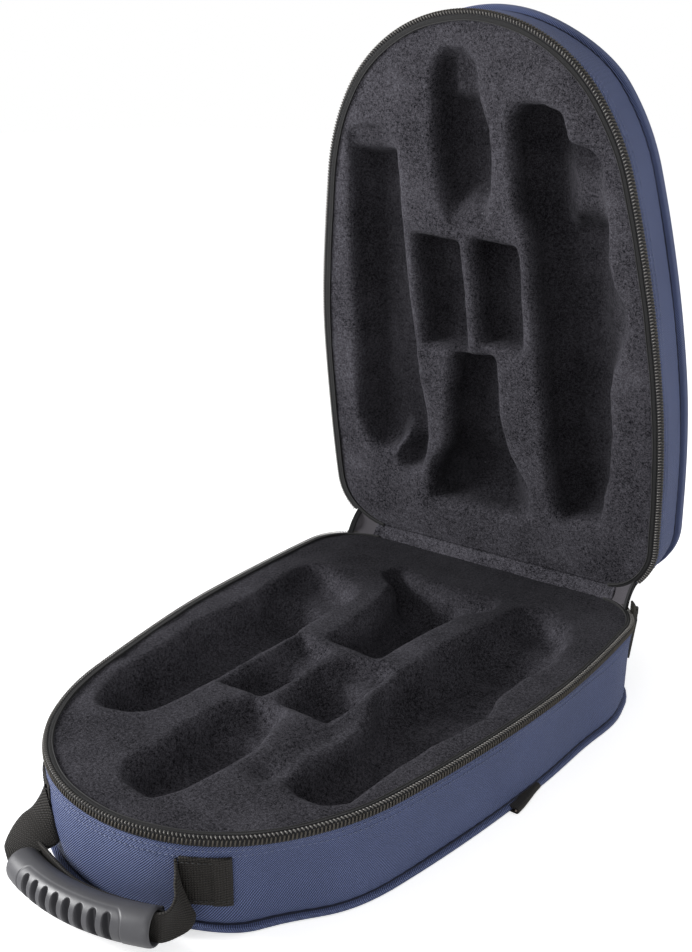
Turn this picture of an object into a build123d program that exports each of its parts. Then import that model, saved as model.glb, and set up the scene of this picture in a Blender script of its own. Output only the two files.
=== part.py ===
from build123d import *
import os
from math import atan2, cos, degrees, radians, sin, sqrt

# Soft clarinet case, open. Millimetres, +Z up. The origin is the middle of the base's underside.
# The rounded nose with the handle points to -Y, the straight hinge edge is at +Y.

# ---- outline seen from above: nose, shoulder, side and corner arcs, each tangent to the next ----
CASE_LENGTH = 380.0
CASE_WIDTH = 257.5
NOSE_R = 104.0
NOSE_HALF_ANGLE = 57.6
SHOULDER_R = 153.0
SIDE_R = 1010.0
CORNER_R = 42.0

# ---- heights of the base, from the surface it stands on ----
UNDERSIDE_CROWN = 5.2
BASE_EDGE_T = 2.8
BASE_PROUD = 2.5
CROWN_INSET = 12.0
WELT_H = 0.8
RIM_Z = 55.5
RIM_BAND = 5.5
COIL_H = 4.0

# ---- lid depths, from its own rim plane ----
LID_SEAM = 34.5
LID_EDGE_T = 5.0
LID_PROUD = 1.5
LID_CROWN = 3.0
LID_OPEN = 79.5
CLOSED_GAP = 0.5

# ---- layers, as distances in from the wall's outer face ----
WALL_T = 3.0
WELT_INSET = 0.7
COIL_IN = 0.3
COIL_T = 2.6
TAPE_T = 0.8
TAPE_DROP = 12.0
BOARD_GAP = 0.2
BOARD_T = 2.0
INSERT_IN = 4.2
INSERT_BELOW_RIM = 2.0
BINDING_W = 2.6
BINDING_T = 0.8

# ---- zipper ends and fabric hinge ----
ZIP_END_Y = 178.0
STOP_LEN = 3.0
HINGE_START_Y = 181.3
HINGE_PANEL_T = 1.6
LINING_T = 1.0
LINING_GAP = 0.1
HINGE_EDGE_GAP = 0.1
AXIS_BEHIND = 0.6
FOLD_R = 0.4
FOLD_END_GAP = 2.0

# ---- foam pockets: corner points, corner radius and depths from the rim plane (base, lid) ----
POCKET_R = 4.0
UPPER_JOINT = [(-85, -120), (-65, -120), (-64, -107), (-52, -98), (-49, -20), (-47, 84),
               (-52, 126), (-72, 104), (-92, 113), (-104, 86), (-97, 27), (-89, -60)]
LOWER_JOINT = [(37, -131), (66, -131), (73, -115), (88, -112), (92, -38), (103, -14),
               (103, 5), (93, 33), (97, 95), (90, 126), (57, 135), (48, 51), (43, -25)]
MOUTHPIECE = [(-15, -168), (9, -168), (17, -135), (13, -59), (-15, -59), (-19, -105)]
BARREL_ONE = [(-40, -54), (-10, -54), (-11, 16), (-40, 16)]
BARREL_TWO = [(4, -53), (33, -53), (34, 8), (4, 8)]
BELL = [(-17, 26), (14, 25), (18, 80), (26, 108), (36, 124), (37, 146),
        (-42, 146), (-42, 128), (-28, 106), (-21, 80)]
BELL_FLARE = [(-34, 114), (31, 114), (36, 124), (37, 146), (-42, 146), (-42, 128)]
POCKETS = {
    "upper_joint": (UPPER_JOINT, 28.0, 22.0),
    "lower_joint": (LOWER_JOINT, 30.0, 24.0),
    "mouthpiece": (MOUTHPIECE, 24.0, 18.0),
    "barrel_one": (BARREL_ONE, 22.0, 17.0),
    "barrel_two": (BARREL_TWO, 22.0, 17.0),
    "bell": (BELL, 30.0, 24.0),
    "bell_flare": (BELL_FLARE, 41.0, 29.5),
}

# ---- carrying handle: the grip hangs a little to one side and lower at its left end ----
GRIP_R = 144.0
GRIP_HALF_ANGLE = 19.5
GRIP_MID = (3.0, -209.0, 15.6)
GRIP_LEAN = -6.0
GRIP_THICK = 18.8
GRIP_TALL = 18.2
STRAP_W = 25.0
STRAP_T = 1.6
STRAP_IN_GRIP_H = 14.0
STRAP_CLEAR = 0.15
SLOT_COUNT = 8
SLOT_PITCH = 7.9
SLOT_LEN = 13.0
SLOT_W = 4.2
SLOT_TILT = 5.0
SLOT_FLOOR = 4.2
PIVOT_Y = -184.0
PIVOT_Z = 31.5
PIVOT_END_R = 2.0
LEG_OUT = 1.4
LEG_HALF_H = 8.5
LEG_END_CLEAR = 0.3
PATCH_FROM = 25.9
PATCH_TO = 39.4

# ---- strap loops under the two sides ----
LOOP_W = 30.0
LOOP_Y = 18.0
LOOP_LEN = 13.0
LOOP_H = 5.2
LOOP_OUT = 1.5

# ---- zipper slider and its pull, parked at the right hinge corner ----
SLIDER_ANGLE = 40.0
SLIDER_LEN = 9.0
SLIDER_H = 10.0
SLIDER_OUT = 0.6
SLIDER_T = 1.5
CROWN_H = 5.0
CROWN_LEN = 2.4
CROWN_OUT = 2.6
CROWN_ROOT = 0.2
PIN_R = 0.8
PIN_CLEAR = 0.1
PULL_LEN = 27.0
PULL_W = 6.0
PULL_T = 1.2
PULL_ARM = 5.5
PULL_ARM_T = 0.9
PULL_ARM_GAP = 0.3

# ---- worked out from the above ----
HALF_LEN = CASE_LENGTH / 2
SEAM_Z = UNDERSIDE_CROWN + BASE_EDGE_T
WALL_TOP_Z = RIM_Z - RIM_BAND
LID_RIM_Z = RIM_Z + CLOSED_GAP
HINGE_Y = HALF_LEN + AXIS_BEHIND
HINGE_Z = RIM_Z + CLOSED_GAP / 2
HINGE_AXIS = Axis((0, HINGE_Y, HINGE_Z), (1, 0, 0))


def arc_centres():
    """Centres of the four right-hand arcs, each tangent to the next."""
    nose = Vector(0, NOSE_R - HALF_LEN)
    turn = radians(NOSE_HALF_ANGLE)
    shoulder = nose + Vector(sin(turn), -cos(turn)) * (NOSE_R - SHOULDER_R)
    side_x = CASE_WIDTH / 2 - SIDE_R
    rise = sqrt((SIDE_R - SHOULDER_R) ** 2 - (shoulder.X - side_x) ** 2)
    side = Vector(side_x, shoulder.Y + rise)
    corner_y = HALF_LEN - CORNER_R
    run = sqrt((SIDE_R - CORNER_R) ** 2 - (corner_y - side.Y) ** 2)
    return nose, shoulder, side, Vector(side_x + run, corner_y)


NOSE_C, SHOULDER_C, SIDE_C, CORNER_C = arc_centres()


def heading(start, end):
    """Angle in degrees of the line from start to end."""
    return degrees(atan2(end.Y - start.Y, end.X - start.X))


def outline(offset):
    """The case's face seen from above, grown outwards by offset."""
    shoulder_end = heading(SIDE_C, SHOULDER_C)
    side_end = heading(SIDE_C, CORNER_C)
    stops = [-90.0, -90.0 + NOSE_HALF_ANGLE, shoulder_end, side_end, 90.0]
    arcs = [(NOSE_C, NOSE_R), (SHOULDER_C, SHOULDER_R), (SIDE_C, SIDE_R), (CORNER_C, CORNER_R)]
    half = Curve()
    for (centre, radius), start, end in zip(arcs, stops, stops[1:]):
        half += CenterArc(centre, radius + offset, start, end - start)
    back = HALF_LEN + offset
    hinge_edge = Line((-CORNER_C.X, back), (CORNER_C.X, back))
    return make_face(half + hinge_edge + mirror(half, about=Plane.YZ))


def slab(offset, low, high):
    """A solid of the outline between two heights."""
    return Pos(0, 0, low) * extrude(outline(offset), high - low)


def ring(inset, thick, low, high):
    """A closed band of the outline, starting inset from the wall's outer face."""
    return slab(-inset, low, high) - slab(-inset - thick, low, high)


def span_y(low, high):
    """A box that holds everything between two Y planes."""
    size = 2 * CASE_LENGTH
    return Pos(0, (low + high) / 2, 0) * Box(size, high - low, size)


def zipped(band):
    """The stretch of a band that carries the zipper."""
    return band & span_y(-CASE_LENGTH, ZIP_END_Y)


def hinged(band):
    """The stretch of a band that belongs to the fabric hinge."""
    return band & span_y(HINGE_START_Y, CASE_LENGTH)


def sector(centre, radius, thick, start, end, low, height):
    """A curved plate about a centre, between two angles."""
    inner = CenterArc(centre, radius, start, end - start)
    outer = CenterArc(centre, radius + thick, start, end - start)
    sides = Line(inner @ 0, outer @ 0) + Line(inner @ 1, outer @ 1)
    return Pos(0, 0, low) * extrude(make_face(inner + outer + sides), height)


def pocket_cuts(top, side, which):
    """The pocket tools that open at a height, cut down (side -1) or up (side +1)."""
    cuts = []
    for points, *depths in POCKETS.values():
        shape = make_face(FilletPolyline(*points, radius=POCKET_R, close=True))
        depth = depths[which]
        low = top - depth if side < 0 else top
        cuts.append(Pos(0, 0, low) * extrude(shape, depth))
    return cuts


def edge_rounded(body, height, radius):
    """Round the outer edges that lie at a height."""
    edges = body.edges().filter_by_position(Axis.Z, height - 0.01, height + 0.01)
    return fillet(edges, radius)


# ---------------------------------------------------------------- base

def base_bottom_panel():
    edge = slab(BASE_PROUD, UNDERSIDE_CROWN, SEAM_Z)
    edge = edge_rounded(edge, UNDERSIDE_CROWN, BASE_EDGE_T * 0.48)
    edge = edge_rounded(edge, SEAM_Z, BASE_EDGE_T * 0.48)
    crown = edge_rounded(slab(-CROWN_INSET, 0, UNDERSIDE_CROWN), 0, UNDERSIDE_CROWN * 0.7)
    return edge + crown


def base_seam_welt():
    return ring(WELT_INSET, WALL_T - WELT_INSET, SEAM_Z, SEAM_Z + WELT_H)


def base_side_wall():
    return ring(0, WALL_T, SEAM_Z + WELT_H, WALL_TOP_Z)


def base_floor_board():
    return slab(-WALL_T - BOARD_GAP, SEAM_Z, SEAM_Z + BOARD_T)


def base_insert():
    body = slab(-INSERT_IN, SEAM_Z + BOARD_T, RIM_Z - INSERT_BELOW_RIM)
    for cut in pocket_cuts(RIM_Z, -1, 0):
        body -= cut
    return body


def base_rim_binding():
    low = RIM_Z - INSERT_BELOW_RIM
    return ring(INSERT_IN, BINDING_W, low, low + BINDING_T)


def base_zipper_tape():
    flange_top = RIM_Z - COIL_H
    upright = ring(WALL_T, TAPE_T, WALL_TOP_Z - TAPE_DROP, flange_top)
    flange = ring(COIL_IN, WALL_T - COIL_IN, WALL_TOP_Z, flange_top)
    return zipped(upright + flange)


def base_zipper_coil():
    return zipped(ring(COIL_IN, COIL_T, RIM_Z - COIL_H, RIM_Z))


def zipper_end_stops():
    band = ring(COIL_IN, COIL_T, RIM_Z - COIL_H, RIM_Z)
    return band & span_y(ZIP_END_Y, ZIP_END_Y + STOP_LEN)


def base_hinge_panel():
    return hinged(ring(COIL_IN, HINGE_PANEL_T, WALL_TOP_Z, RIM_Z - HINGE_EDGE_GAP))


def base_hinge_lining():
    inset = COIL_IN + HINGE_PANEL_T + LINING_GAP
    return hinged(ring(inset, LINING_T, WALL_TOP_Z, RIM_Z - HINGE_EDGE_GAP))


def hinge_fold():
    length = 2 * (CORNER_C.X - FOLD_END_GAP)
    return Pos(0, HINGE_Y, HINGE_Z) * Rot(0, 90, 0) * Cylinder(FOLD_R, length)


def handle_patch(side):
    """Webbing end sewn to the nose wall, right (side 1) or left (side -1) of the middle."""
    start = -90.0 + PATCH_FROM
    end = -90.0 + PATCH_TO
    patch = sector(NOSE_C, NOSE_R, STRAP_T, start, end, PIVOT_Z - STRAP_W / 2, STRAP_W)
    return patch if side > 0 else mirror(patch, about=Plane.YZ)


def strap_loop(side):
    """Flat webbing loop under the panel's edge, its fold facing out."""
    outer_x = CASE_WIDTH / 2 + LOOP_OUT
    flat = SlotOverall(LOOP_LEN, LOOP_H)
    hole = SlotOverall(LOOP_LEN - 2 * STRAP_T, LOOP_H - 2 * STRAP_T)
    loop = extrude(Plane.XZ * (flat - hole), LOOP_W / 2, both=True)
    return Pos(side * (outer_x - LOOP_LEN / 2), LOOP_Y, LOOP_H / 2) * loop


# ---------------------------------------------------------------- lid, drawn closed

def opened(body):
    """Swing a lid piece from closed to its resting angle."""
    return body.rotate(HINGE_AXIS, -LID_OPEN)


def lid_ring(inset, thick, near, far):
    """A band of the closed lid between two depths from its rim plane."""
    return ring(inset, thick, LID_RIM_Z + near, LID_RIM_Z + far)


def lid_top_panel():
    seam = LID_RIM_Z + LID_SEAM
    face = seam + LID_EDGE_T
    edge = slab(LID_PROUD, seam, face)
    edge = edge_rounded(edge, seam, LID_EDGE_T * 0.3)
    edge = edge_rounded(edge, face, LID_EDGE_T * 0.48)
    crown = slab(-CROWN_INSET, face, face + LID_CROWN)
    return edge + edge_rounded(crown, face + LID_CROWN, LID_CROWN * 0.7)


def lid_seam_welt():
    return lid_ring(WELT_INSET, WALL_T - WELT_INSET, LID_SEAM - WELT_H, LID_SEAM)


def lid_side_wall():
    return lid_ring(0, WALL_T, RIM_BAND, LID_SEAM - WELT_H)


def lid_stiffener_board():
    far = LID_RIM_Z + LID_SEAM
    return slab(-WALL_T - BOARD_GAP, far - BOARD_T, far)


def lid_insert():
    body = slab(-INSERT_IN, LID_RIM_Z + INSERT_BELOW_RIM, LID_RIM_Z + LID_SEAM - BOARD_T)
    for cut in pocket_cuts(LID_RIM_Z, 1, 1):
        body -= cut
    return body


def lid_rim_binding():
    return lid_ring(INSERT_IN, BINDING_W, INSERT_BELOW_RIM - BINDING_T, INSERT_BELOW_RIM)


def lid_zipper_tape():
    upright = lid_ring(WALL_T, TAPE_T, COIL_H, RIM_BAND + TAPE_DROP)
    flange = lid_ring(COIL_IN, WALL_T - COIL_IN, COIL_H, RIM_BAND)
    return zipped(upright + flange)


def lid_zipper_coil():
    return zipped(lid_ring(COIL_IN, COIL_T, 0, COIL_H))


def lid_hinge_panel():
    return hinged(lid_ring(COIL_IN, HINGE_PANEL_T, HINGE_EDGE_GAP, RIM_BAND))


def lid_hinge_lining():
    inset = COIL_IN + HINGE_PANEL_T + LINING_GAP
    return hinged(lid_ring(inset, LINING_T, HINGE_EDGE_GAP, RIM_BAND))


# ---------------------------------------------------------------- handle

GRIP_C = Vector(GRIP_MID[0], GRIP_MID[1] + GRIP_R)


def leaned(body):
    """Tip a body about the grip's middle, as the handle hangs."""
    return body.rotate(Axis(GRIP_MID, (0, 1, 0)), GRIP_LEAN)


def grip_point(angle):
    """Frame on the level grip's centre line: local X points outwards, local Y up."""
    turn = radians(-90.0 + angle)
    spot = (GRIP_C.X + GRIP_R * cos(turn), GRIP_C.Y + GRIP_R * sin(turn), GRIP_MID[2])
    outward = (cos(turn), sin(turn), 0)
    along = (-sin(turn), cos(turn), 0)
    return Plane(origin=spot, x_dir=outward, z_dir=along)


def leaned_end(side):
    """Where the leaning grip's centre line ends."""
    end = grip_point(side * GRIP_HALF_ANGLE).origin
    reach = end.X - GRIP_MID[0]
    lean = radians(GRIP_LEAN)
    return Vector(GRIP_MID[0] + reach * cos(lean), end.Y, GRIP_MID[2] - reach * sin(lean))


def swept_about_grip(profile):
    """Carry a section round the grip's arc, from end to end."""
    axis = Axis((GRIP_C.X, GRIP_C.Y, 0), (0, 0, 1))
    start = grip_point(-GRIP_HALF_ANGLE) * profile
    return revolve(start, axis, 2 * GRIP_HALF_ANGLE)


def grip_slot(angle):
    """One cut into the grip's outer face, turned a little upwards."""
    tilt = radians(SLOT_TILT)
    frame = grip_point(angle)
    facing = frame.x_dir * cos(tilt) + Vector(0, 0, 1) * sin(tilt)
    origin = frame.origin + facing * SLOT_FLOOR
    plane = Plane(origin=origin, x_dir=frame.z_dir.cross(facing), z_dir=facing)
    return extrude(plane * SlotOverall(SLOT_LEN, SLOT_W), GRIP_TALL)


def handle_grip():
    section = Ellipse(GRIP_THICK / 2, GRIP_TALL / 2)
    clear = 2 * STRAP_CLEAR
    channel = Rectangle(STRAP_T + clear, STRAP_IN_GRIP_H + clear)
    grip = swept_about_grip(section - channel)
    pitch = degrees(SLOT_PITCH / GRIP_R)
    for index in range(SLOT_COUNT):
        grip -= grip_slot((index - (SLOT_COUNT - 1) / 2) * pitch)
    return leaned(grip)


def webbing_leg(side):
    """The strap between the grip's end and its turning line at the wall."""
    end = leaned_end(side)
    near = PIVOT_Y + PIVOT_END_R / 2
    far = end.Y - LEG_END_CLEAR
    points = [(near, PIVOT_Z + PIVOT_END_R), (far, end.Z + LEG_HALF_H),
              (far, end.Z - LEG_HALF_H), (near, PIVOT_Z - PIVOT_END_R)]
    face = make_face(Plane.YZ * Polyline(*points, close=True))
    return Pos(end.X + side * LEG_OUT, 0, 0) * extrude(face, STRAP_T / 2, both=True)


def handle_webbing():
    core = swept_about_grip(Rectangle(STRAP_T, STRAP_IN_GRIP_H))
    for side in (-1, 1):
        end = grip_point(side * GRIP_HALF_ANGLE)
        core += extrude(end * Rectangle(STRAP_T, STRAP_IN_GRIP_H), side * 2 * LEG_OUT)
    core = leaned(core)
    for side in (-1, 1):
        core += webbing_leg(side)
    return core


# ---------------------------------------------------------------- slider and pull

def slider_plane():
    """Frame at the slider: local X outwards, local Y up, local Z along the rim."""
    turn = radians(SLIDER_ANGLE)
    outward = Vector(cos(turn), sin(turn), 0)
    spot = CORNER_C + outward * (CORNER_R + SLIDER_OUT + SLIDER_T)
    return Plane(origin=(spot.X, spot.Y, HINGE_Z), x_dir=outward, z_dir=(sin(turn), -cos(turn), 0))


def slider_body():
    half = degrees(SLIDER_LEN / 2 / (CORNER_R + SLIDER_OUT))
    start, end = SLIDER_ANGLE - half, SLIDER_ANGLE + half
    low = HINGE_Z - SLIDER_H / 2
    return sector(CORNER_C, CORNER_R + SLIDER_OUT, SLIDER_T, start, end, low, SLIDER_H)


def slider_crown():
    section = Pos((CROWN_OUT - CROWN_ROOT) / 2, 0) * Rectangle(CROWN_OUT + CROWN_ROOT, CROWN_H)
    eye = Pos(CROWN_OUT / 2, 0) * Circle(PIN_R + PIN_CLEAR)
    crown = extrude(slider_plane() * (section - eye), CROWN_LEN / 2, both=True)
    return crown - slider_body()


def pull_tab():
    frame = slider_plane()
    half_width = CROWN_LEN / 2 + PULL_ARM_GAP + PULL_ARM_T
    pin = extrude(frame * (Pos(CROWN_OUT / 2, 0) * Circle(PIN_R)), half_width, both=True)
    arm = Pos(CROWN_OUT / 2, -PULL_ARM / 2) * Rectangle(PULL_T, PULL_ARM + 2 * PIN_R)
    arms = extrude(frame * arm, half_width, both=True)
    arms -= extrude(frame * arm, half_width - PULL_ARM_T, both=True)
    blade = Pos(CROWN_OUT / 2, -PULL_ARM - PULL_LEN / 2) * Rectangle(PULL_T, PULL_LEN)
    return pin + arms + extrude(frame * blade, PULL_W / 2, both=True)


NODES = {
    "base_bottom_panel": base_bottom_panel(),
    "base_seam_welt": base_seam_welt(),
    "base_side_wall": base_side_wall(),
    "base_floor_board": base_floor_board(),
    "base_insert": base_insert(),
    "base_rim_binding": base_rim_binding(),
    "base_zipper_tape": base_zipper_tape(),
    "base_zipper_coil": base_zipper_coil(),
    "zipper_end_stops": zipper_end_stops(),
    "base_hinge_panel": base_hinge_panel(),
    "base_hinge_lining": base_hinge_lining(),
    "hinge_fold": hinge_fold(),
    "handle_patch_right": handle_patch(1),
    "handle_patch_left": handle_patch(-1),
    "strap_loop_right": strap_loop(1),
    "strap_loop_left": strap_loop(-1),
    "lid_top_panel": opened(lid_top_panel()),
    "lid_seam_welt": opened(lid_seam_welt()),
    "lid_side_wall": opened(lid_side_wall()),
    "lid_stiffener_board": opened(lid_stiffener_board()),
    "lid_insert": opened(lid_insert()),
    "lid_rim_binding": opened(lid_rim_binding()),
    "lid_zipper_tape": opened(lid_zipper_tape()),
    "lid_zipper_coil": opened(lid_zipper_coil()),
    "lid_hinge_panel": opened(lid_hinge_panel()),
    "lid_hinge_lining": opened(lid_hinge_lining()),
    "handle_grip": handle_grip(),
    "handle_webbing": handle_webbing(),
    "slider_body": slider_body(),
    "slider_crown": slider_crown(),
    "pull_tab": pull_tab(),
}

os.makedirs("parts", exist_ok=True)
for name, shape in NODES.items():
    export_step(shape, f"parts/{name}.step")
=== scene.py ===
from math import cos, pi, radians, sin, sqrt

import bmesh
import bpy
import numpy as np
from mathutils import Matrix, Vector


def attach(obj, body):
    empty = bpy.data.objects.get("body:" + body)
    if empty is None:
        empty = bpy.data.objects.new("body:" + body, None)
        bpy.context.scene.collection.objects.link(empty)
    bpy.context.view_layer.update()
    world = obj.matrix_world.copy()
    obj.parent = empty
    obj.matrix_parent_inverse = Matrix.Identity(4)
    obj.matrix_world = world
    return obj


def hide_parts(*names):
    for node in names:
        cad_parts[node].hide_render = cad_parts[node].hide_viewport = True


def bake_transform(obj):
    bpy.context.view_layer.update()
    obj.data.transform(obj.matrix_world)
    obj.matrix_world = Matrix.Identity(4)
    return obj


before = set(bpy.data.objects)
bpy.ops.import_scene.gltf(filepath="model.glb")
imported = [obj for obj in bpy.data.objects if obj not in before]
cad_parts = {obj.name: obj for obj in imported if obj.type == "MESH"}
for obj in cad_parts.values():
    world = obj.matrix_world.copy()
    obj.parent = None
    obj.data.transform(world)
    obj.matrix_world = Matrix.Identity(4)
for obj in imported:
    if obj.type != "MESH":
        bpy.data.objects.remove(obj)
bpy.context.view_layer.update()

# Soft clarinet case. Shapes are worked out in millimetres and written in metres. The base stands on z = 0,
# the nose with the handle points to -Y and the fabric hinge is at +Y. "Depth" is the distance from a half's
# rim plane into that half, and "out" is the distance outwards from the wall's face.

# ---- the case's own sizes ----
HALF_LENGTH = 190.0
SIDE_X = 128.75
NOSE_R, SHOULDER_R, SIDE_R, CORNER_R = 104.0, 153.0, 1010.0, 42.0
NOSE_TURN = radians(57.6)
RIM_Z = 55.5
LID_RIM_Z = 56.0
HINGE_Y, HINGE_Z = 190.6, 55.75
LID_OPEN = radians(79.5)
RIM_BAND = 5.5
BASE_SEAM, LID_SEAM = 47.5, 34.5
WELT_H = 0.8
ZIP_END_Y, HINGE_START_Y, LINING_START_Y = 178.0, 181.3, 188.0
INSERT_INSET, INSERT_GAP, PLUSH_TOP = 4.6, 2.2, 2.0
WEBBING_THICK = 1.5
SIDES = ((1, "right"), (-1, "left"))

# ---- how far the soft shell has settled ----
BACK_LEAN, LEFT_SWELL, BASE_SAG = 3.2, 2.8, 4.7
BASE_DRAW, SHOULDER_DRAW, SIDE_EASE, LID_NOSE_DRAW = 3.0, 4.0, 4.5, 4.0
DRAW_START, DRAW_LENGTH = 5.0, 8.0

# ---- pockets: corner points from above, depth from the rim plane, and the floor areas that differ, each with
# its own corner points, depth and width of slope ----
BASE_POCKETS = {
    "upper_joint": ([(-80, -114), (-72, -117), (-57, -112), (-50, -104), (-47, -88), (-46, -22), (-47, 63),
        (-45, 84), (-49, 95), (-69, 108), (-92, 115), (-102, 109), (-103, 95), (-98, 39), (-101, -7),
        (-94, -41), (-94, -60), (-92, -87)], 27,
        [([(-100, 80), (-40, 60), (-40, 120), (-105, 125)], 17, 22)]),
    "mouthpiece": ([(-10, -160), (11, -163), (17, -151), (21, -120), (22, -97), (17, -79), (11, -60), (-11, -59),
        (-18, -69), (-19, -104), (-17, -121), (-19, -138), (-18, -152)], 25,
        [([(-20, -80), (24, -92), (24, -50), (-20, -50)], 16, 16)]),
    "barrel_one": ([(-39, -55), (-10, -53), (-9, -30), (-11, 12), (-41, 22), (-37, -15)], 22,
        [([(-60, -8), (10, -20), (10, 40), (-60, 40)], 12, 26)]),
    "barrel_two": ([(3, -52), (34, -53), (36, -27), (34, 14), (25, 19), (5, 11), (1, -3), (2, -28)], 22,
        [([(-10, -8), (50, -20), (50, 40), (-10, 40)], 12, 26)]),
    "bell": ([(-20, 28), (16, 25), (17, 43), (20, 80), (24, 106), (38, 126), (36, 139), (23, 139), (-5, 134),
        (-45, 143), (-48, 132), (-34, 121), (-25, 94), (-21, 54)], 33,
        [([(8, 96), (60, 110), (60, 160), (8, 150)], 17, 14)]),
    "lower_joint": ([(57, -112), (69, -117), (82, -116), (90, -108), (90, -80), (94, -41), (103, 4), (97, 33),
        (98, 54), (103, 83), (100, 113), (89, 133), (71, 145), (55, 139), (51, 115), (43, 54), (42, 12),
        (43, -10), (51, -30), (57, -58), (55, -86)], 28,
        [([(40, 100), (110, 100), (110, 160), (40, 160)], 20, 30)]),
}
LID_POCKETS = {
    "mouthpiece": ([(-18, -161), (-11, -168), (3, -167), (9, -157), (10, -138), (15, -120), (15, -95), (13, -76),
        (10, -58), (-15, -56), (-21, -74), (-23, -106), (-22, -137)], 20,
        [([(-12, -180), (20, -180), (20, -137), (-12, -137)], 11, 12),
        ([(-40, -60), (20, -84), (20, -40), (-40, -40)], 7, 20)]),
    "upper_joint": ([(-89, -119), (-66, -121), (-54, -114), (-54, -52), (-53, -10), (-50, 57), (-47, 79),
        (-47, 103), (-54, 128), (-64, 132), (-72, 127), (-75, 116), (-88, 120), (-96, 113), (-103, 98),
        (-103, 78), (-99, 26), (-96, -34), (-90, -98)], 20,
        [([(-100, -130), (-50, -130), (-50, -104), (-100, -103)], 7, 9),
        ([(-80, 128), (-67, 98), (-59, 101), (-72, 132)], 4, 12)]),
    "barrel_one": ([(-44, -49), (-12, -47), (-10, -14), (-10, 30), (-42, 28), (-43, -11)], 19, []),
    "barrel_two": ([(0, -49), (31, -46), (32, -19), (32, 24), (2, 23), (1, -9)], 19, []),
    "bell": ([(-20, 33), (11, 31), (12, 76), (17, 100), (26, 117), (33, 128), (33, 150), (-6, 149), (-46, 151),
        (-43, 125), (-29, 104), (-25, 68)], 22,
        [([(-60, 122), (0, 108), (40, 122), (40, 170), (-60, 170)], 26, 16),
        ([(18, 128), (50, 118), (50, 160), (24, 160)], 9, 20)]),
    "lower_joint": ([(32, -127), (38, -134), (52, -135), (64, -130), (68, -112), (82, -109), (89, -101), (92, -59),
        (92, -43), (96, -26), (103, -15), (104, 2), (100, 17), (95, 28), (92, 42), (93, 76), (91, 105),
        (84, 138), (61, 144), (54, 138), (50, 122), (44, 21), (40, -52), (34, -70), (31, -96)], 24,
        [([(64, -100), (110, -100), (110, -66), (66, -64)], 9, 22),
        ([(88, -40), (120, -40), (120, 34), (88, 34)], 10, 20)]),
}
POCKETS = {"base": BASE_POCKETS, "lid": LID_POCKETS}
# soft dimples in the plush beside the pockets: place, size both ways, depth
DIMPLES = {"base": [((46, -48), (11, 20), 5.5), ((42, -110), (9, 10), 5.0), ((47, -80), (11, 26), 2.4),
                    ((-42, 122), (10, 14), 1.2), ((58, 150), (16, 8), 0.9)],
           "lid": [((97, 88), (6, 16), 1.0), ((30, 165), (9, 9), 0.9), ((-70, 150), (12, 8), 0.6)]}


# ---- the case's edge ----

def edge_arcs():
    """Centre, radius and start angle of the right half's four arcs, each tangent to the next."""
    nose = np.array([0.0, NOSE_R - HALF_LENGTH])
    shoulder = nose + np.array([sin(NOSE_TURN), -cos(NOSE_TURN)]) * (NOSE_R - SHOULDER_R)
    side_x = SIDE_X - SIDE_R
    side = np.array([side_x, shoulder[1] + sqrt((SIDE_R - SHOULDER_R) ** 2 - (shoulder[0] - side_x) ** 2)])
    corner_y = HALF_LENGTH - CORNER_R
    corner = np.array([side_x + sqrt((SIDE_R - CORNER_R) ** 2 - (corner_y - side[1]) ** 2), corner_y])
    heading = lambda a, b: np.arctan2(b[1] - a[1], b[0] - a[0])
    turns = [-pi / 2, -pi / 2 + NOSE_TURN, heading(side, shoulder), heading(side, corner), pi / 2]
    radii = [NOSE_R, SHOULDER_R, SIDE_R, CORNER_R]
    return [(c, r, a, (b - a) * r) for c, r, a, b in zip([nose, shoulder, side, corner], radii, turns, turns[1:])]


ARCS = edge_arcs()
ARC_STARTS = np.cumsum([0.0] + [arc[3] for arc in ARCS])
CORNER = ARCS[3][0]
HALF_EDGE = ARC_STARTS[-1] + CORNER[0]


def corner_run(y):
    """Distance along the edge from the nose to where the back corner's arc reaches y."""
    return ARC_STARTS[3] + CORNER_R * (np.arcsin((y - CORNER[1]) / CORNER_R) - ARCS[3][2])


ZIP_END, HINGE_START, LINING_START = corner_run(ZIP_END_Y), corner_run(HINGE_START_Y), corner_run(LINING_START_Y)


def smoothstep(x):
    """A ramp from 0 to 1 with level ends: x^2 * (3 - 2x), with x held between 0 and 1."""
    x = np.clip(x, 0, 1)
    return x * x * (3 - 2 * x)


def hump(x, middle, width):
    """A soft bump of height 1 at the middle."""
    return np.exp(-((x - middle) / width) ** 2)


def case_edge(s):
    """Points on the face and outward normals at s mm along it from the nose, positive to the right.

    Each arc is its centre plus its radius times (cos a, sin a); past the last one the edge is straight, and
    the left half mirrors the right.
    """
    run = np.abs(s)
    x = CORNER[0] - (run - ARC_STARTS[-1])
    y = np.full_like(run, HALF_LENGTH)
    nx, ny = np.zeros_like(run), np.ones_like(run)
    for (centre, radius, turn, _), begin, end in zip(ARCS, ARC_STARTS, ARC_STARTS[1:]):
        here = (run >= begin) & (run < end)
        a = turn + (run - begin) / radius
        x = np.where(here, centre[0] + radius * np.cos(a), x)
        y = np.where(here, centre[1] + radius * np.sin(a), y)
        nx, ny = np.where(here, np.cos(a), nx), np.where(here, np.sin(a), ny)
    side = np.where(s < 0, -1.0, 1.0)
    return x * side, y, nx * side, ny


def carried(s, out, depth):
    """Carry a profile round the case: the edge point plus its normal times out, at a depth from the rim."""
    x, y, nx, ny = (a[:, None] for a in case_edge(s))
    return np.stack(np.broadcast_arrays(x + nx * out, y + ny * out, depth), -1)


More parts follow.
